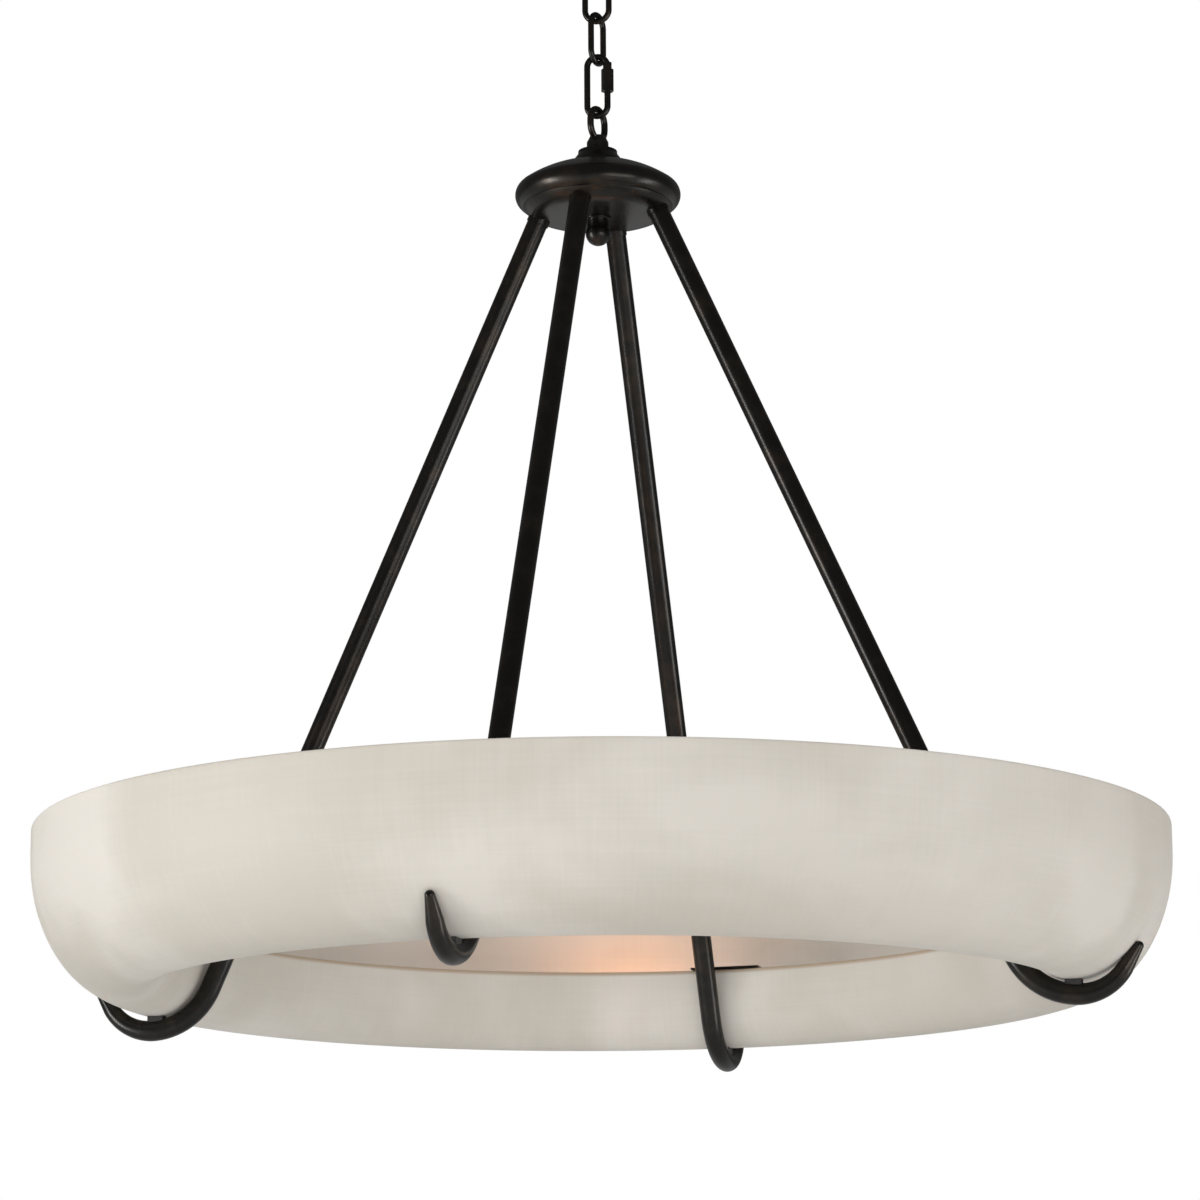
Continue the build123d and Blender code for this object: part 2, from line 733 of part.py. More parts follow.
def make_bracket(azimuth):
    """Sheet bracket: a strap over the inner rim, a tab on the bar and an end plate for the holder."""
    leg_bottom = strap_top - bracket_leg_drop
    leg_outside = bracket_leg_radius + bracket_thickness
    strap_inside = ring_hole_radius - strap_overhang
    tab_back = tab_face + bracket_thickness
    plate_top_z = lamp_z + holder_radius
    with BuildPart() as bracket:
        with BuildSketch(section_plane(azimuth, strap_offset + strap_length / 2)):
            with BuildLine():
                Polyline(
                    (strap_inside, strap_bottom),
                    (leg_outside, strap_bottom),
                    (leg_outside, strap_top),
                    (strap_inside, strap_top),
                    close=True,
                )
            make_face()
        extrude(amount=strap_length)
        with BuildSketch(section_plane(azimuth, bracket_plate_start + bracket_thickness)):
            with BuildLine():
                Polyline(
                    (bracket_leg_radius, strap_top),
                    (bracket_leg_radius, leg_bottom),
                    (leg_outside, leg_bottom),
                    (leg_outside, strap_top),
                    close=True,
                )
            make_face()
        extrude(amount=bracket_leg_width)
        with BuildSketch(section_plane(azimuth, bracket_plate_start + bracket_thickness)):
            with BuildLine():
                Polyline(
                    (bracket_leg_radius, leg_bottom),
                    (lamp_radius, leg_bottom),
                    (lamp_radius + bracket_plate_reach, lamp_z - holder_radius / 2),
                    (lamp_radius + bracket_plate_reach, lamp_z + holder_radius / 2),
                    (lamp_radius, plate_top_z),
                    (bracket_leg_radius, plate_top_z),
                    close=True,
                )
            make_face()
            with Locations((lamp_radius, lamp_z)):
                Circle(holder_stem_radius + slip_fit, mode=Mode.SUBTRACT)
        extrude(amount=bracket_thickness)
        with BuildSketch(section_plane(azimuth, tab_width / 2)):
            with BuildLine():
                Polyline(
                    (strap_inside + bracket_thickness, strap_bottom),
                    beside_bar_at(strap_bottom, tab_face),
                    beside_bar(tab_head_distance, tab_face),
                    beside_bar(tab_head_distance, tab_back),
                    beside_bar_at(strap_top, tab_back),
                    (strap_inside + bracket_thickness, strap_top),
                    close=True,
                )
            make_face()
        extrude(amount=tab_width)
        with BuildSketch(Plane(origin=tab_screw_point(azimuth), z_dir=bar_normal(azimuth))):
            Circle(screw_radius + slip_fit)
        extrude(amount=4 * bracket_thickness, mode=Mode.SUBTRACT)
    return bracket.part


for number, azimuth in enumerate(arm_azimuths, 1):
    save(make_bracket(azimuth), f"lamp_bracket_{number}")

# Screws that hold the brackets to the bars
with BuildPart() as bracket_screws:
    for azimuth in arm_azimuths:
        entry = tab_screw_point(azimuth)
        head_seat = entry + bar_normal(azimuth) * (slip_fit + bracket_thickness)
        with BuildSketch(Plane(origin=entry - bar_normal(azimuth) * screw_length, z_dir=bar_normal(azimuth))):
            Circle(screw_radius)
        extrude(amount=screw_length + slip_fit + bracket_thickness)
        with BuildSketch(Plane(origin=head_seat, z_dir=bar_normal(azimuth))):
            Circle(screw_head_radius)
        extrude(amount=screw_head_height, taper=25)
save(bracket_screws.part, "bracket_screws")

# Lamps: holder, its nut, its contacts, and the bulb with its screw cap
holder_back = bracket_plate_start + bracket_thickness
holder_front = holder_back + holder_length
holder_floor_end = holder_back + holder_floor
shell_bore = cap_radius + running_fit
shell_outside = shell_bore + shell_wall
cap_back = holder_floor_end + contact_height + seat_gap + cap_button_height
cap_front = cap_back + cap_length
bulb_end = cap_front + bulb_length


def revolve_lamp_outline(azimuth, points):
    """Solid turned about a lamp's axis from outline points, distance along the ring and radius."""
    with BuildPart() as turned:
        with BuildSketch(lamp_section(azimuth)):
            with BuildLine():
                Polyline(*points, close=True)
            make_face()
        revolve(axis=lamp_axis(azimuth))
    return turned.part


def make_holder(azimuth):
    """Porcelain lampholder with a threaded stem through the bracket."""
    stem_back = bracket_plate_start - holder_nut_height - seat_gap
    outline = (
        (stem_back, 0),
        (stem_back, holder_stem_radius),
        (holder_back, holder_stem_radius),
        (holder_back, holder_radius - 2),
        (holder_back + 2, holder_radius),
        (holder_front - 1.5, holder_radius),
        (holder_front, holder_radius - 1.5),
        (holder_front, shell_outside + 2),
        (holder_front - 3, shell_outside + slip_fit),
        (holder_floor_end, shell_outside + slip_fit),
        (holder_floor_end, 0),
    )
    return revolve_lamp_outline(azimuth, outline)


def make_contacts(azimuth):
    """Brass screw shell and centre contact in the holder."""
    shell = revolve_lamp_outline(
        azimuth,
        (
            (holder_floor_end, shell_bore),
            (holder_floor_end, shell_outside),
            (holder_front - 3, shell_outside),
            (holder_front - 3, shell_bore),
        ),
    )
    centre = revolve_lamp_outline(
        azimuth,
        (
            (holder_floor_end, 0),
            (holder_floor_end, contact_radius),
            (holder_floor_end + contact_height, contact_radius),
            (holder_floor_end + contact_height, 0),
        ),
    )
    return shell, centre


def make_cap(azimuth):
    """Brass screw cap of a bulb with its contact button."""
    outline = (
        (cap_back - cap_button_height, 0),
        (cap_back - cap_button_height, cap_button_radius - 0.8),
        (cap_back, cap_button_radius),
        (cap_back, cap_tip_radius),
        (cap_back + cap_cone_length, cap_radius),
        (cap_front, cap_radius),
        (cap_front, 0),
    )
    return revolve_lamp_outline(azimuth, outline)


def make_bulb(azimuth):
    """Frosted tubular bulb."""
    with BuildPart() as bulb:
        with BuildSketch(lamp_section(azimuth)):
            with BuildLine():
                shoulder_end = (cap_front + bulb_shoulder_length, bulb_radius)
                Line((cap_front, 0), (cap_front, bulb_neck_radius))
                Spline(
                    (cap_front, bulb_neck_radius),
                    shoulder_end,
                    tangents=((1, 0.1), (1, 0)),
                )
                Line(shoulder_end, (bulb_end - bulb_radius, bulb_radius))
                CenterArc((bulb_end - bulb_radius, 0), bulb_radius, 90, -90)
                Line((bulb_end, 0), (cap_front, 0))
            make_face()
        revolve(axis=lamp_axis(azimuth))
    return bulb.part


for number, azimuth in enumerate(arm_azimuths, 1):
    save(make_holder(azimuth), f"lampholder_{number}")
    save(make_cap(azimuth), f"bulb_cap_{number}")
    save(make_bulb(azimuth), f"bulb_{number}")

with BuildPart() as lampholder_contacts:
    for azimuth in arm_azimuths:
        add(make_contacts(azimuth))
save(lampholder_contacts.part, "lampholder_contacts")

with BuildPart() as lampholder_nuts:
    for azimuth in arm_azimuths:
        with BuildSketch(across_lamp(azimuth, bracket_plate_start - holder_nut_height)):
            RegularPolygon(holder_nut_width / 2, 6, major_radius=False)
            Circle(holder_stem_radius + slip_fit, mode=Mode.SUBTRACT)
        extrude(amount=holder_nut_height)
save(lampholder_nuts.part, "lampholder_nuts")
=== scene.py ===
import json
from math import acos, asin, atan2, cos, degrees, hypot, pi, radians, sin

import bmesh
import bpy
from mathutils import Matrix, Vector


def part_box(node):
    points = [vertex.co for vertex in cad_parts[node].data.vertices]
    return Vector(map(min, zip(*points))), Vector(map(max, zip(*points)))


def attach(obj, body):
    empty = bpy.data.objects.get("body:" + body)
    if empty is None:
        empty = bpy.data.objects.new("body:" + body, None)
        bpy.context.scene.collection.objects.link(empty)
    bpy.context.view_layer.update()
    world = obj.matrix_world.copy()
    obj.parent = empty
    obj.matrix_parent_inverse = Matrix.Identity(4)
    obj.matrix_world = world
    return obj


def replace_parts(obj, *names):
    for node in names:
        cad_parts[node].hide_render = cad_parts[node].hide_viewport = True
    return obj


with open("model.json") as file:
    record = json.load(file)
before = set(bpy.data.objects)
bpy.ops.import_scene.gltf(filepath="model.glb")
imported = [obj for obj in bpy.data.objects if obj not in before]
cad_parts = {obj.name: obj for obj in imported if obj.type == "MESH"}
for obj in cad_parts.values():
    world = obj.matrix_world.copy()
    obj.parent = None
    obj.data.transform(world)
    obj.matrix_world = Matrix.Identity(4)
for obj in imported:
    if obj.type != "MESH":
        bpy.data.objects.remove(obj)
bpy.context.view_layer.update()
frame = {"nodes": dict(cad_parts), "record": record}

# The ring, in metres: its rim's height below the ceiling, and its section from there
RING_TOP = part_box("alabaster_ring")[1].z
RING_RADIUS = 0.4543
RING_HEIGHT = 0.1308
RING_BAND = 0.0225
RING_LOWEST_OUTSIDE = 0.3805
RING_LOWEST_INSIDE = 0.3764
RING_HOLE_RADIUS = 0.3344
RING_HOLE_RIM = 0.0674
RING_WALL = 0.009
RIM_ROUND = 0.0035
RING_MIDDLE_RADIUS = 0.392
RING_MIDDLE_HEIGHT = RING_TOP - 0.067

# Hand grinding leaves the face this much out of true, and this much below the turned size
GRINDING_DEPTH = 0.00012
GRINDING_LOSS = 0.0003

# The grain runs round a hoop of this radius, and round the wall on one of this radius
GRAIN_HOOP = 0.4
GRAIN_WALL = 0.07
# Depth of the band at the top of the hole's rim that is painted a warm brown shade
RIM_SHADE_DEPTH = 0.004

# Lighter patches put into the ring's colour: azimuth in degrees, height in metres, half-width in metres
LIGHTER_PATCHES = [
    (226.0, -0.885, 0.085),
    (301.0, -0.872, 0.085),
    (345.0, -0.905, 0.075),
    (128.0, -0.870, 0.090),
    (60.0, -0.880, 0.080),
]
PATCH_RADIUS = 0.447
PATCH_HALF_HEIGHT = 0.055

# The hub: heights in metres below the ceiling, sections in millimetres over its plate
PLATE_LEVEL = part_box("hub_plate")[0].z
COLLAR_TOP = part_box("hub_collar")[1].z
HUB_BORE = 5.2
DOME_TOP = 36.3
COLLAR_FLANGE = 21.0

# The bars, in metres
BAR_RADIUS = 0.0085
BAR_TOP_REACH = 0.048
BAR_SOCKET = 0.017
HOOK_BEND = 0.0566
HOOK_LOW_REACH = 0.385
HOOK_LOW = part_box("hook_bar_1")[0].z + BAR_RADIUS
CLAW_BEND = 0.042
CLAW_TURN = radians(56)
CLAW_END_RADIUS = 0.0068
CLAW_TIP_RADIUS = 0.0034
CLAW_TIP_LENGTH = 0.024
BLUNT_END_RADIUS = 0.00005
BAR_SIDES = 40
BAR_AZIMUTHS = (0, 90, 180, 270)

BULB_STRENGTH = 7.2

# The studio, in metres
FLOOR_LEVEL = -2.45
FLOOR_HALF_WIDTH = 12.0
LIGHT_AIM = Vector((0, 0, -0.7))
WHITE = (1, 1, 1)
COOL_WHITE = (0.90, 0.95, 1.0)


# Finishes: a small way to write a material's nodes

class Value:
    """A number that changes over a surface."""

    def __init__(self, paint, socket):
        self.paint = paint
        self.socket = socket

    def reckoned(self, operation, first, second):
        node = self.paint.node("ShaderNodeMath", {"operation": operation}, {0: first, 1: second})
        return Value(self.paint, node.outputs[0])

    def __add__(self, other):
        return self.reckoned("ADD", self, other)

    def __radd__(self, other):
        return self.reckoned("ADD", other, self)

    def __sub__(self, other):
        return self.reckoned("SUBTRACT", self, other)

    def __rsub__(self, other):
        return self.reckoned("SUBTRACT", other, self)

    def __mul__(self, other):
        return self.reckoned("MULTIPLY", self, other)

    def __rmul__(self, other):
        return self.reckoned("MULTIPLY", other, self)


class Paint:
    """A tree of nodes, and the one way to put a node in it."""

    def __init__(self, tree):
        self.tree = tree

    def join(self, socket, value):
        """Links a value to a socket, or sets a number or a colour on it."""
        if isinstance(value, Value):
            self.tree.links.new(value.socket, socket)
        elif isinstance(value, bpy.types.NodeSocket):
            self.tree.links.new(value, socket)
        elif socket.type == "RGBA":
            socket.default_value = (*value, 1.0)
        else:
            socket.default_value = value

    def node(self, kind, settings=None, sockets=None):
        """A new node of a kind, its settings made first and then its sockets."""
        node = self.tree.nodes.new(kind)
        for name, value in (settings or {}).items():
            setattr(node, name, value)
        for name, value in (sockets or {}).items():
            self.join(node.inputs[name], value)
        return node


# Places of the sockets on a Mix node that mixes colours
MIX_FACTOR = 0
MIX_FIRST = 6
MIX_SECOND = 7
MIX_RESULT = 2


class Finish(Paint):
    """One material and the patterns that paint it."""

    def __init__(self, name):
        self.material = bpy.data.materials.new(name)
        self.material.use_nodes = True
        super().__init__(self.material.node_tree)
        self.shader = self.tree.nodes["Principled BSDF"]

    def noise(self, scale, detail=3.0, roughness=0.5, distortion=0.0,
              stretch=(1, 1, 1), shift=(0, 0, 0), laid_by=None):
        """A cloudy pattern over the piece, or over an attribute that says how the piece is laid."""
        if laid_by:
            where = self.node("ShaderNodeAttribute", {"attribute_name": laid_by}).outputs["Vector"]
        else:
            where = self.node("ShaderNodeTexCoord").outputs["Object"]
        moved = self.node("ShaderNodeMapping", {"vector_type": "POINT"},
                          {"Vector": where, "Location": shift, "Scale": stretch})
        node = self.node("ShaderNodeTexNoise", None,
                         {"Vector": moved.outputs["Vector"], "Scale": scale, "Detail": detail,
                          "Roughness": roughness, "Distortion": distortion})
        return Value(self, node.outputs["Fac"])

    def ranged(self, value, low, high, new_low=0.0, new_high=1.0):
        """A value taken smoothly from one span to another, held at the ends."""
        spans = (value, low, high, new_low, new_high)
        node = self.node("ShaderNodeMapRange", {"interpolation_type": "SMOOTHSTEP", "clamp": True},
                         dict(enumerate(spans)))
        return Value(self, node.outputs[0])

    def mix(self, factor, first, second):
        node = self.node("ShaderNodeMix", {"data_type": "RGBA", "clamp_factor": True},
                         {MIX_FACTOR: factor, MIX_FIRST: first, MIX_SECOND: second})
        return node.outputs[MIX_RESULT]

    def patch(self, centre, radii):
        """A soft round patch about one point: 1 at its middle, 0 outside."""
        vector = self.node("ShaderNodeTexCoord").outputs["Object"]
        for operation, other in (("SUBTRACT", centre), ("DIVIDE", radii)):
            moved = self.node("ShaderNodeVectorMath", {"operation": operation}, {0: vector, 1: other})
            vector = moved.outputs[0]
        length = self.node("ShaderNodeVectorMath", {"operation": "LENGTH"}, {0: vector})
        return self.ranged(Value(self, length.outputs["Value"]), 0.0, 1.0, 1.0, 0.0)

    def bump(self, height, depth, strength):
        node = self.node("ShaderNodeBump", None,
                         {"Height": height, "Distance": depth, "Strength": strength})
        return node.outputs["Normal"]

    def coat(self, **sockets):
        """Puts values and links on the shader's own sockets, named by their words."""
        for name, value in sockets.items():
            socket = name.replace("_", " ").title().replace("Ior", "IOR")
            self.join(self.shader.inputs[socket], value)
        return self.material


def make_alabaster():
    """Off-white stone, matt, with soft clouds, lighter patches and a faint woven grain that runs round
    the ring, and a painted warm brown shade along the top of its hole's rim.
    """
    shade, pale = (0.575, 0.532, 0.463), (0.680, 0.641, 0.580)
    blush, rim_shade = (0.605, 0.548, 0.480), (0.36, 0.25, 0.15)
    stone = Finish("alabaster_honed")
    clouds = stone.noise(5.0, 3.0, 0.55, 0.4, laid_by="lay")
    veins = stone.noise(16.0, 4.0, 0.6, 0.8, shift=(7, 2, 5), laid_by="lay")
    blushes = stone.noise(2.6, 2.0, shift=(3, 1, 2), laid_by="lay")
    grain = stone.noise(1.0, 3.0, 0.6, stretch=(9, 9, 420), laid_by="lay")
    weft = stone.noise(1.0, 2.0, 0.6, stretch=(340, 340, 14), laid_by="lay")
    light = 1.15 * stone.ranged(clouds, 0.35, 0.72)
    for azimuth, height, width in LIGHTER_PATCHES:
        turn = radians(azimuth)
        middle = (PATCH_RADIUS * cos(turn), PATCH_RADIUS * sin(turn), height)
        light = light + 0.7 * stone.patch(middle, (width, width, PATCH_HALF_HEIGHT))
    light = light + 0.5 * grain + 0.4 * weft + 0.4 * veins - 0.65
    colour = stone.mix(light, shade, pale)
    colour = stone.mix(0.5 * stone.ranged(blushes, 0.45, 0.75), colour, blush)
    # The top of the hole's rim is painted a warm brown shade
    rim = Value(stone, stone.node("ShaderNodeAttribute", {"attribute_name": "rim"}).outputs["Fac"])
    return stone.coat(
        base_color=stone.mix(0.75 * rim, colour, rim_shade),
        roughness=0.52 + 0.12 * clouds,
        normal=stone.bump(0.6 * grain + 0.4 * weft, 0.0002, 0.4),
        subsurface_weight=0.12,
        subsurface_radius=(1.0, 0.5, 0.3),
        subsurface_scale=0.012,
        specular_ior_level=0.3,
    )


def make_bronze():
    """Near-black bronze lacquer over drawn metal, browner where it is rubbed."""
    metal = Finish("bronze_dark")
    cloud = metal.noise(38.0, 4.0, 0.6)
    fine = metal.noise(520.0, 3.0, 0.6, shift=(1, 2, 3))
    drawn = metal.noise(1.0, 3.0, 0.6, stretch=(260, 260, 16))
    rubbed = metal.ranged(cloud, 0.42, 0.72)
    colour = metal.mix(rubbed, (0.024, 0.0225, 0.0205), (0.046, 0.036, 0.028))
    return metal.coat(
        base_color=metal.mix(0.3 * drawn, colour, (0.015, 0.015, 0.0145)),
        metallic=0.85,
        roughness=0.20 + 0.10 * cloud + 0.10 * fine,
        normal=metal.bump(0.6 * drawn + 0.4 * fine, 0.00012, 0.35),
    )


def make_steel():
    """Zinc-plated steel with a faint mottle."""
    metal = Finish("zinc_plated_steel")
    mottle = metal.noise(90.0, 4.0, 0.6)
    fine = metal.noise(1.0, 3.0, stretch=(300, 300, 40))
    return metal.coat(
        base_color=metal.mix(mottle, (0.42, 0.42, 0.41), (0.60, 0.61, 0.62)),
        metallic=1.0,
        roughness=0.28 + 0.18 * fine,
        normal=metal.bump(fine, 0.0001, 0.3),
    )


def make_porcelain():
    """White glazed porcelain, slightly uneven under its glaze."""
    glaze = Finish("porcelain_glazed")
    tone = glaze.noise(60.0, 3.0)
    ripple = glaze.noise(160.0, 2.0, shift=(2, 0, 1))
    return glaze.coat(
        base_color=glaze.mix(tone, (0.76, 0.74, 0.69), (0.86, 0.85, 0.82)),
        roughness=0.14 + 0.1 * tone,
        coat_weight=0.6,
        coat_roughness=0.08,
        normal=glaze.bump(ripple, 0.0002, 0.3),
    )


def make_brass():
    """Drawn brass, a little tarnished."""
    metal = Finish("brass_drawn")
    tarnish = metal.noise(120.0, 4.0, 0.65)
    fine = metal.noise(1.0, 3.0, stretch=(60, 60, 900))
    tarnished = metal.ranged(tarnish, 0.4, 0.75)
    return metal.coat(
        base_color=metal.mix(tarnished, (0.72, 0.52, 0.24), (0.42, 0.28, 0.12)),
        metallic=1.0,
        roughness=0.2 + 0.25 * tarnish,
        normal=metal.bump(fine, 0.00008, 0.3),
    )


def make_lit_glass():
    """Frosted bulb glass with the lamp's warm light in it."""
    glass = Finish("bulb_glass_frosted")
    frost = glass.noise(700.0, 3.0, 0.6)
    drift = glass.noise(22.0, 2.0, shift=(5, 1, 0))
    return glass.coat(
        base_color=glass.mix(drift, (0.86, 0.83, 0.78), (0.93, 0.91, 0.88)),
        roughness=0.45 + 0.2 * frost,
        normal=glass.bump(frost, 0.00006, 0.3),
        emission_color=glass.mix(drift, (1.0, 0.42, 0.17), (1.0, 0.48, 0.21)),
        emission_strength=BULB_STRENGTH,
    )


def make_pad():
    """Dark rubber with a fine open grain."""
    rubber = Finish("rubber_dark")
    pores = rubber.noise(900.0, 3.0, 0.7)
    tone = rubber.noise(70.0, 2.0)
    return rubber.coat(
        base_color=rubber.mix(tone, (0.020, 0.019, 0.018), (0.042, 0.040, 0.038)),
        roughness=0.75 + 0.15 * pores,
        normal=rubber.bump(pores, 0.0002, 0.5),
    )


finishes = {
    "bronze": make_bronze(),
    "alabaster": make_alabaster(),
    "steel": make_steel(),
    "porcelain": make_porcelain(),
    "brass": make_brass(),
    "frosted_glass": make_lit_glass(),
    "pad": make_pad(),
}

finish_of = {part["node"]: finishes[part["material_slot"]] for part in frame["record"]["subparts"]}
for name, node in frame["nodes"].items():
    for slot in node.material_slots:
        slot.material = finish_of[name]


# Shapes that the pieces are made of

def placed(name, mesh):
    """Makes an object of a mesh, at the origin."""
    data = bpy.data.meshes.new(name)
    mesh.to_mesh(data)
    mesh.free()
    piece = bpy.data.objects.new(name, data)
    bpy.context.scene.collection.objects.link(piece)
    return piece


def finished(name, mesh, slot):
    """Makes a smooth piece of a mesh in its finish, and lets it ride on the fixture."""
    bmesh.ops.recalc_face_normals(mesh, faces=mesh.faces)
    piece = placed(name, mesh)
    piece.data.materials.append(finishes[slot])
    for face in piece.data.polygons:
        face.use_smooth = True
    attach(piece, "fixture")
    return piece


def arc(centre, reach, rise, start, end, steps):
    """Points on a part of an ellipse across a section, angles in degrees."""
    angles = [radians(start + (end - start) * step / steps) for step in range(steps + 1)]
    return [(centre[0] + reach * cos(angle), centre[1] + rise * sin(angle)) for angle in angles]


def through(first, middle, last, steps):
    """Points on the arc through three points, from the first to the last."""
    (ax, ay), (bx, by), (cx, cy) = first, middle, last
    spread = 2 * (ax * (by - cy) + bx * (cy - ay) + cx * (ay - by))
    a2, b2, c2 = ax * ax + ay * ay, bx * bx + by * by, cx * cx + cy * cy
    x = (a2 * (by - cy) + b2 * (cy - ay) + c2 * (ay - by)) / spread
    y = (a2 * (cx - bx) + b2 * (ax - cx) + c2 * (bx - ax)) / spread
    radius = hypot(ax - x, ay - y)
    start, end = atan2(ay - y, ax - x), atan2(cy - y, cx - x)
    turn = (end - start + pi) % (2 * pi) - pi
    angles = [start + turn * step / steps for step in range(steps + 1)]
    return [(x + radius * cos(angle), y + radius * sin(angle)) for angle in angles]


def rounded(outline, radius, steps=4):
    """A closed outline whose corners sharper than 25 degrees are rounded."""
    nearly_straight = radians(155)
    nothing = 1e-7
    points = [Vector(point) for point in outline]
    smooth = []
    for before, corner, after in zip(points[-1:] + points[:-1], points, points[1:] + points[:1]):
        back, onward = before - corner, after - corner
        if min(back.length, onward.length) < nothing or back.angle(onward) > nearly_straight:
            smooth.append(corner)
            continue
        cut = min(radius, 0.45 * back.length, 0.45 * onward.length)
        first = corner + back.normalized() * cut
        last = corner + onward.normalized() * cut
        for step in range(steps + 1):
            share = step / steps
            rest = 1 - share
            smooth.append(first * rest ** 2 + corner * 2 * share * rest + last * share ** 2)
    return [tuple(point) for point in smooth]


def spun(outline, steps):
    """A closed outline across the axis, points as radius and height, turned once round it."""
    mesh = bmesh.new()
    corners = [mesh.verts.new((radius, 0.0, height)) for radius, height in outline]
    edges = [mesh.edges.new(pair) for pair in zip(corners, corners[1:] + corners[:1])]
    bmesh.ops.spin(mesh, geom=corners + edges, cent=(0, 0, 0), axis=(0, 0, 1),
                   angle=2 * pi, steps=steps, use_merge=True)
    bmesh.ops.remove_doubles(mesh, verts=mesh.verts, dist=1e-6)
    return mesh


# The ring: its face's outline given a wall, rounded at both rims and spun once round

def ring_face():
    """The ring's outer face from the high rim, under it and up to the rim of its hole."""
    band = [(RING_RADIUS, -RING_BAND * step / 3) for step in range(3)]
    outside = arc((RING_LOWEST_OUTSIDE, -RING_BAND), RING_RADIUS - RING_LOWEST_OUTSIDE,
                  RING_HEIGHT - RING_BAND, 0, -90, 28)
    hole_side = arc((RING_LOWEST_INSIDE, -RING_HOLE_RIM), RING_LOWEST_INSIDE - RING_HOLE_RADIUS,
                    RING_HEIGHT - RING_HOLE_RIM, -90, -180, 24)
    return band + outside + hole_side


def ring_outline():
    """The face and the hollow side of the ring's wall as one closed outline."""
    face = [Vector(point) for point in ring_face()]
    hollow = []
    for number, point in enumerate(face):
        onward = (face[min(number + 1, len(face) - 1)] - face[max(number - 1, 0)]).normalized()
        hollow.append(point + Vector((onward.y, -onward.x)) * RING_WALL)
    closed = [tuple(point) for point in face + hollow[::-1]]
    return [(radius, RING_TOP + height) for radius, height in rounded(closed, RIM_ROUND, 6)]


def hand_ground(azimuth, height):
    """How far hand grinding leaves the face proud or short of the turned size, in metres."""
    slow = sin(3 * azimuth + 0.7) + 0.7 * sin(7 * azimuth + 40 * height)
    quick = 0.5 * sin(13 * azimuth - 55 * height + 1.9) + 0.4 * sin(23 * azimuth + 90 * height)
    return GRINDING_DEPTH * (slow + quick) - GRINDING_LOSS


def make_ring():
    """The trough's wall, ground by hand on its outside and on the side of its hole."""
    mesh = spun(ring_outline(), 288)
    for corner in mesh.verts:
        azimuth = atan2(corner.co.y, corner.co.x)
        proud = hand_ground(azimuth, corner.co.z)
        if hypot(corner.co.x, corner.co.y) <= RING_MIDDLE_RADIUS:
            proud = -proud
        corner.co.x += proud * cos(azimuth)
        corner.co.y += proud * sin(azimuth)
    return mesh


def mark_grain(ring):
    """Marks how the stone's grain runs round the ring, and the top of its hole's rim, where a warm
    brown shade is painted.
    """
    ring.data.attributes.new("lay", "FLOAT_VECTOR", "POINT")
    ring.data.attributes.new("rim", "FLOAT", "POINT")
    lay, rim = ring.data.attributes["lay"], ring.data.attributes["rim"]
    rim_shade_from = RING_TOP - RING_HOLE_RIM - RIM_SHADE_DEPTH
    for corner in ring.data.vertices:
        x, y, z = corner.co
        azimuth = atan2(y, x)
        round_wall = atan2(hypot(x, y) - RING_MIDDLE_RADIUS, RING_MIDDLE_HEIGHT - z)
        lay.data[corner.index].vector = (
            GRAIN_HOOP * cos(azimuth), GRAIN_HOOP * sin(azimuth), GRAIN_WALL * round_wall)
        # Points at the top of the hole's rim take the painted shade
        rim_shade = z > rim_shade_from and hypot(x, y) < RING_MIDDLE_RADIUS
        rim.data[corner.index].value = 1.0 if rim_shade else 0.0


ring = finished("stone_ring", make_ring(), "alabaster")
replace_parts(ring, "alabaster_ring")
mark_grain(ring)


# The hub: dome, stepped collar, pan under the plate, and the ball nut

def on_plate(outline):
    """An outline in millimetres over the hub's plate, as metres below the ceiling."""
    return [(radius / 1000, PLATE_LEVEL + height / 1000) for radius, height in outline]


def make_dome():
    """Dome with a rounded edge, open below, with a small lip."""
    lip, widest, shoulder, slope = (62.3, 0.0), (68.3, 8.6), (62.9, 19.2), (43.0, 29.9)
    edge = through(lip, widest, shoulder, 14)
    crown = through(shoulder, slope, (COLLAR_FLANGE, DOME_TOP), 20)
    bore = [(HUB_BORE, DOME_TOP), (HUB_BORE, 33.4)]
    inside = [(COLLAR_FLANGE, 33.4), (42.0, 27.2), (60.2, 17.4), (64.2, 8.6), (60.1, 3.0), (60.1, 0.4)]
    return spun(rounded(on_plate(edge + crown[1:] + bore + inside), 0.0006), 160)


def make_collar():
    """Flange, cone and two steps, one on the other, up to the loop's neck."""
    flange, cone, step = 38.6, 45.0, 48.0
    cone_radius, step_radius = 16.2, 12.5
    top = (COLLAR_TOP - PLATE_LEVEL) * 1000
    outline = [
        (HUB_BORE, DOME_TOP), (COLLAR_FLANGE, DOME_TOP), (COLLAR_FLANGE, flange),
        (cone_radius, cone), (cone_radius, step), (step_radius, step),
        (step_radius, top), (HUB_BORE, top),
    ]
    return spun(rounded(on_plate(outline), 0.0009), 128)


def make_pan():
    """Shallow pan that bulges down inside the dome's lip."""
    rim, bulge, foot = (62.1, 0.2), (56.3, -5.5), (48.0, -8.5)
    side = through(rim, bulge, foot, 16)
    bottom = through(foot, (26.0, -9.5), (HUB_BORE, -9.8), 10)
    inside = [(HUB_BORE, -8.3), (46.8, -6.9), (58.0, 0.2)]
    return spun(rounded(on_plate(side + bottom[1:] + inside), 0.0003), 160)


def make_ball_nut():
    """Round nut on a neck and a flange under the pan."""
    top, flange_radius, flange = -9.6, 11.5, -11.4
    neck, centre, ball = 9.2, -23.0, 10.3
    ball_top = degrees(acos(neck / ball))
    round_side = arc((0.0, centre), ball, ball, ball_top, -90, 22)
    outline = [(0.0, top), (flange_radius, top), (flange_radius, flange), (neck, flange)]
    return spun(rounded(on_plate(outline + round_side), 0.0005), 96)


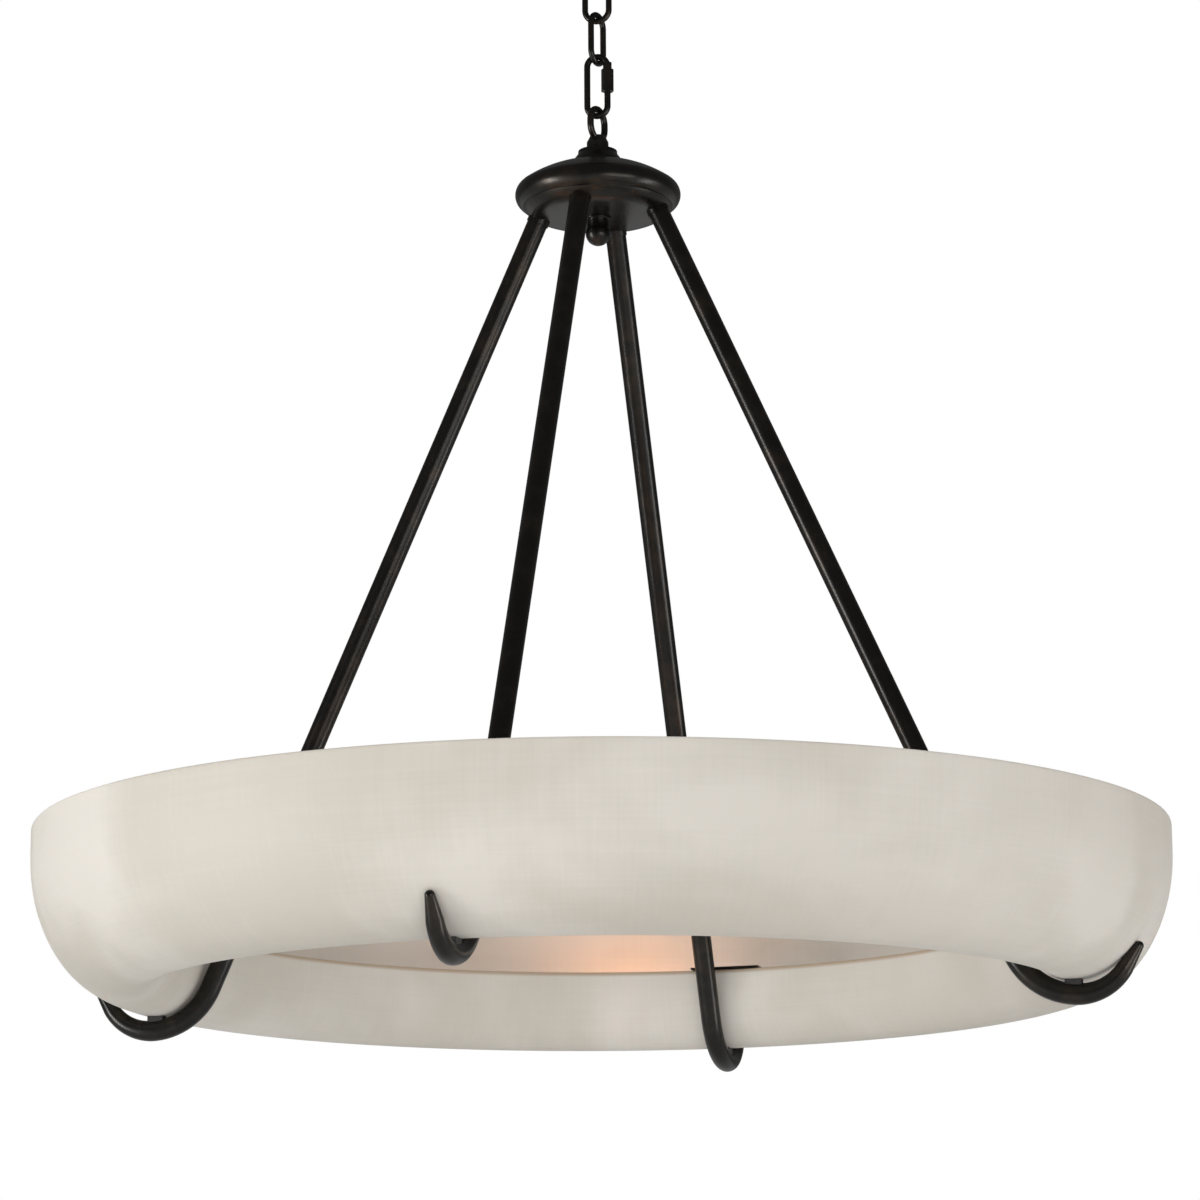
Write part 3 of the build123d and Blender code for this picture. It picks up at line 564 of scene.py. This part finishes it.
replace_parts(finished("hub_dome", make_dome(), "bronze"), "hub_cover")
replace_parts(finished("hub_stepped_collar", make_collar(), "bronze"), "hub_collar")
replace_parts(finished("hub_ball_nut", make_ball_nut(), "bronze"), "hub_finial")
finished("hub_pan", make_pan(), "bronze")


# The bars, each with a hook under the ring and a claw that tapers to a blunt tip

def shares(steps, first=1):
    """Even shares of a stretch, up to the whole of it."""
    return [step / steps for step in range(first, steps + 1)]


def between(start, end, share):
    return start + (end - start) * share


def bar_route():
    """Centre line of a bar across the ring's section, as reach, height and the bar's radius."""
    reach = HOOK_LOW_REACH - BAR_TOP_REACH
    bend_height = HOOK_LOW + HOOK_BEND
    fall = PLATE_LEVEL - bend_height
    tilt = atan2(reach, fall) - asin(HOOK_BEND / hypot(reach, fall))
    length = (reach ** 2 + fall ** 2 - HOOK_BEND ** 2) ** 0.5
    route = []

    def lead(start, along, thick):
        """One point further along the claw's straight tip."""
        route.append((start[0] + along * cos(CLAW_TURN), start[1] + along * sin(CLAW_TURN), thick))

    for share in shares(24, 0):
        along = between(-BAR_SOCKET, length, share)
        route.append((BAR_TOP_REACH + along * sin(tilt), PLATE_LEVEL - along * cos(tilt), BAR_RADIUS))
    for share in shares(16):
        angle = between(tilt, pi / 2, share)
        route.append((HOOK_LOW_REACH - HOOK_BEND * cos(angle),
                      bend_height - HOOK_BEND * sin(angle), BAR_RADIUS))
    for share in shares(16):
        angle = CLAW_TURN * share
        route.append((HOOK_LOW_REACH + CLAW_BEND * sin(angle),
                      HOOK_LOW + CLAW_BEND * (1 - cos(angle)),
                      between(BAR_RADIUS, CLAW_END_RADIUS, share)))
    claw_end = route[-1]
    for share in shares(8):
        along = (CLAW_TIP_LENGTH - CLAW_TIP_RADIUS) * share
        lead(claw_end, along, between(CLAW_END_RADIUS, CLAW_TIP_RADIUS, along / CLAW_TIP_LENGTH))
    tip = route[-1]
    for share in shares(6):
        angle = pi / 2 * share
        lead(tip, tip[2] * sin(angle), max(tip[2] * cos(angle), BLUNT_END_RADIUS))
    return route


def make_bar(azimuth):
    """Round bar that follows its route in the upright plane at an azimuth."""
    mesh = bmesh.new()
    outward = Vector((cos(azimuth), sin(azimuth), 0.0))
    sideways = Vector((-sin(azimuth), cos(azimuth), 0.0))
    upward = Vector((0, 0, 1))
    route = bar_route()
    hoops = []
    for number, (reach, height, thick) in enumerate(route):
        ahead = route[min(number + 1, len(route) - 1)]
        behind = route[max(number - 1, 0)]
        onward = (outward * (ahead[0] - behind[0]) + upward * (ahead[1] - behind[1])).normalized()
        facing = Matrix((onward.cross(sideways), sideways, onward)).transposed().to_4x4()
        middle = Matrix.Translation(outward * reach + upward * height)
        at_an_end = number in (0, len(route) - 1)
        hoop = bmesh.ops.create_circle(mesh, cap_ends=at_an_end, segments=BAR_SIDES, radius=thick,
                                       matrix=middle @ facing)["verts"]
        hoops.append({edge for corner in hoop for edge in corner.link_edges})
    for first, second in zip(hoops, hoops[1:]):
        bmesh.ops.bridge_loops(mesh, edges=list(first | second))
    return mesh


for number, azimuth in enumerate(BAR_AZIMUTHS, 1):
    bar = finished(f"hooked_bar_{number}", make_bar(radians(azimuth)), "bronze")
    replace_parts(bar, f"hook_bar_{number}")


# Studio: floor, light and camera

def make_floor():
    """A pale matt floor far below the ring."""
    mesh = bmesh.new()
    bmesh.ops.create_grid(mesh, x_segments=1, y_segments=1, size=FLOOR_HALF_WIDTH)
    bmesh.ops.translate(mesh, verts=mesh.verts, vec=(0, 0, FLOOR_LEVEL))
    floor = placed("floor", mesh)
    plaster = Finish("floor_pale")
    tone = plaster.noise(1.5, 2.0)
    colour = plaster.mix(tone, (0.80, 0.80, 0.79), (0.84, 0.84, 0.83))
    floor.data.materials.append(plaster.coat(base_color=colour, roughness=0.8))


def make_light(name, spot, size, power, only_mirrored=False, colour=WHITE):
    """A softbox out of the camera's sight: a broad one lights the stone, a narrow one the metal."""
    lamp = bpy.data.lights.new(name, "AREA")
    lamp.shape = "RECTANGLE"
    lamp.size, lamp.size_y = size
    lamp.energy = power
    lamp.color = colour
    light = bpy.data.objects.new(name, lamp)
    light.location = spot
    light.rotation_euler = (LIGHT_AIM - Vector(spot)).to_track_quat("-Z", "Y").to_euler()
    light.visible_camera = False
    light.visible_glossy = only_mirrored
    light.visible_diffuse = not only_mirrored
    bpy.context.scene.collection.objects.link(light)


def make_surroundings():
    """A white background, with a softer grey light from all round and little to mirror."""
    world = bpy.data.worlds.new("studio")
    bpy.context.scene.world = world
    world.use_nodes = True
    studio = Paint(world.node_tree)
    ray = studio.node("ShaderNodeLightPath").outputs
    soft = studio.node("ShaderNodeBackground", None, {"Color": (0.97, 0.985, 1.0), "Strength": 0.60})
    dark = studio.node("ShaderNodeBackground", None, {"Color": WHITE, "Strength": 0.12})
    seen = world.node_tree.nodes["Background"]
    studio.join(seen.inputs["Color"], WHITE)
    studio.join(seen.inputs["Strength"], 1.0)
    lit = studio.node("ShaderNodeMixShader", None,
                      {0: ray["Is Glossy Ray"], 1: soft.outputs[0], 2: dark.outputs[0]})
    whole = studio.node("ShaderNodeMixShader", None,
                        {0: ray["Is Camera Ray"], 1: lit.outputs[0], 2: seen.outputs[0]})
    studio.join(world.node_tree.nodes["World Output"].inputs["Surface"], whole.outputs[0])


def make_camera():
    """The place, direction and lens that put the object where the photograph has it."""
    place = (1.0152, -3.4539, -1.3866)
    heading, pitch, roll = radians(16.38), radians(11.919), radians(-0.30)
    ahead = Vector((-sin(heading) * cos(pitch), cos(heading) * cos(pitch), sin(pitch)))
    level = Vector((cos(heading), sin(heading), 0.0))
    upright = level.cross(ahead)
    right = level * cos(roll) + upright * sin(roll)
    up = upright * cos(roll) - level * sin(roll)
    lens = bpy.data.cameras.new("camera")
    lens.sensor_width = 36.0
    lens.lens = 136.17
    camera = bpy.data.objects.new("camera", lens)
    turn = Matrix((right, up, -ahead)).transposed().to_4x4()
    camera.matrix_world = Matrix.Translation(place) @ turn
    bpy.context.scene.collection.objects.link(camera)
    bpy.context.scene.camera = camera


make_floor()
make_surroundings()
make_light("softbox_front", (-1.2, -3.4, 0.6), (2.4, 1.4), 43.0)
make_light("softbox_right", (3.1, -0.3, -1.3), (0.9, 1.8), 20.0)
make_light("softbox_left", (-2.7, -1.8, -1.3), (0.9, 2.0), 33.0)
make_light("softbox_low", (2.0, -2.6, -2.1), (1.6, 0.8), 15.0)
make_light("strip_front", (2.3, -2.2, -0.95), (2.2, 0.7), 24.0, only_mirrored=True)
make_light("strip_right", (3.0, 0.13, -1.6), (0.7, 1.6), 30.0, only_mirrored=True, colour=COOL_WHITE)
make_light("strip_left", (-2.58, -1.9, -1.22), (0.45, 1.6), 62.0, only_mirrored=True, colour=COOL_WHITE)
make_camera()

view = bpy.context.scene.view_settings
view.view_transform = "Standard"
view.look = "None"
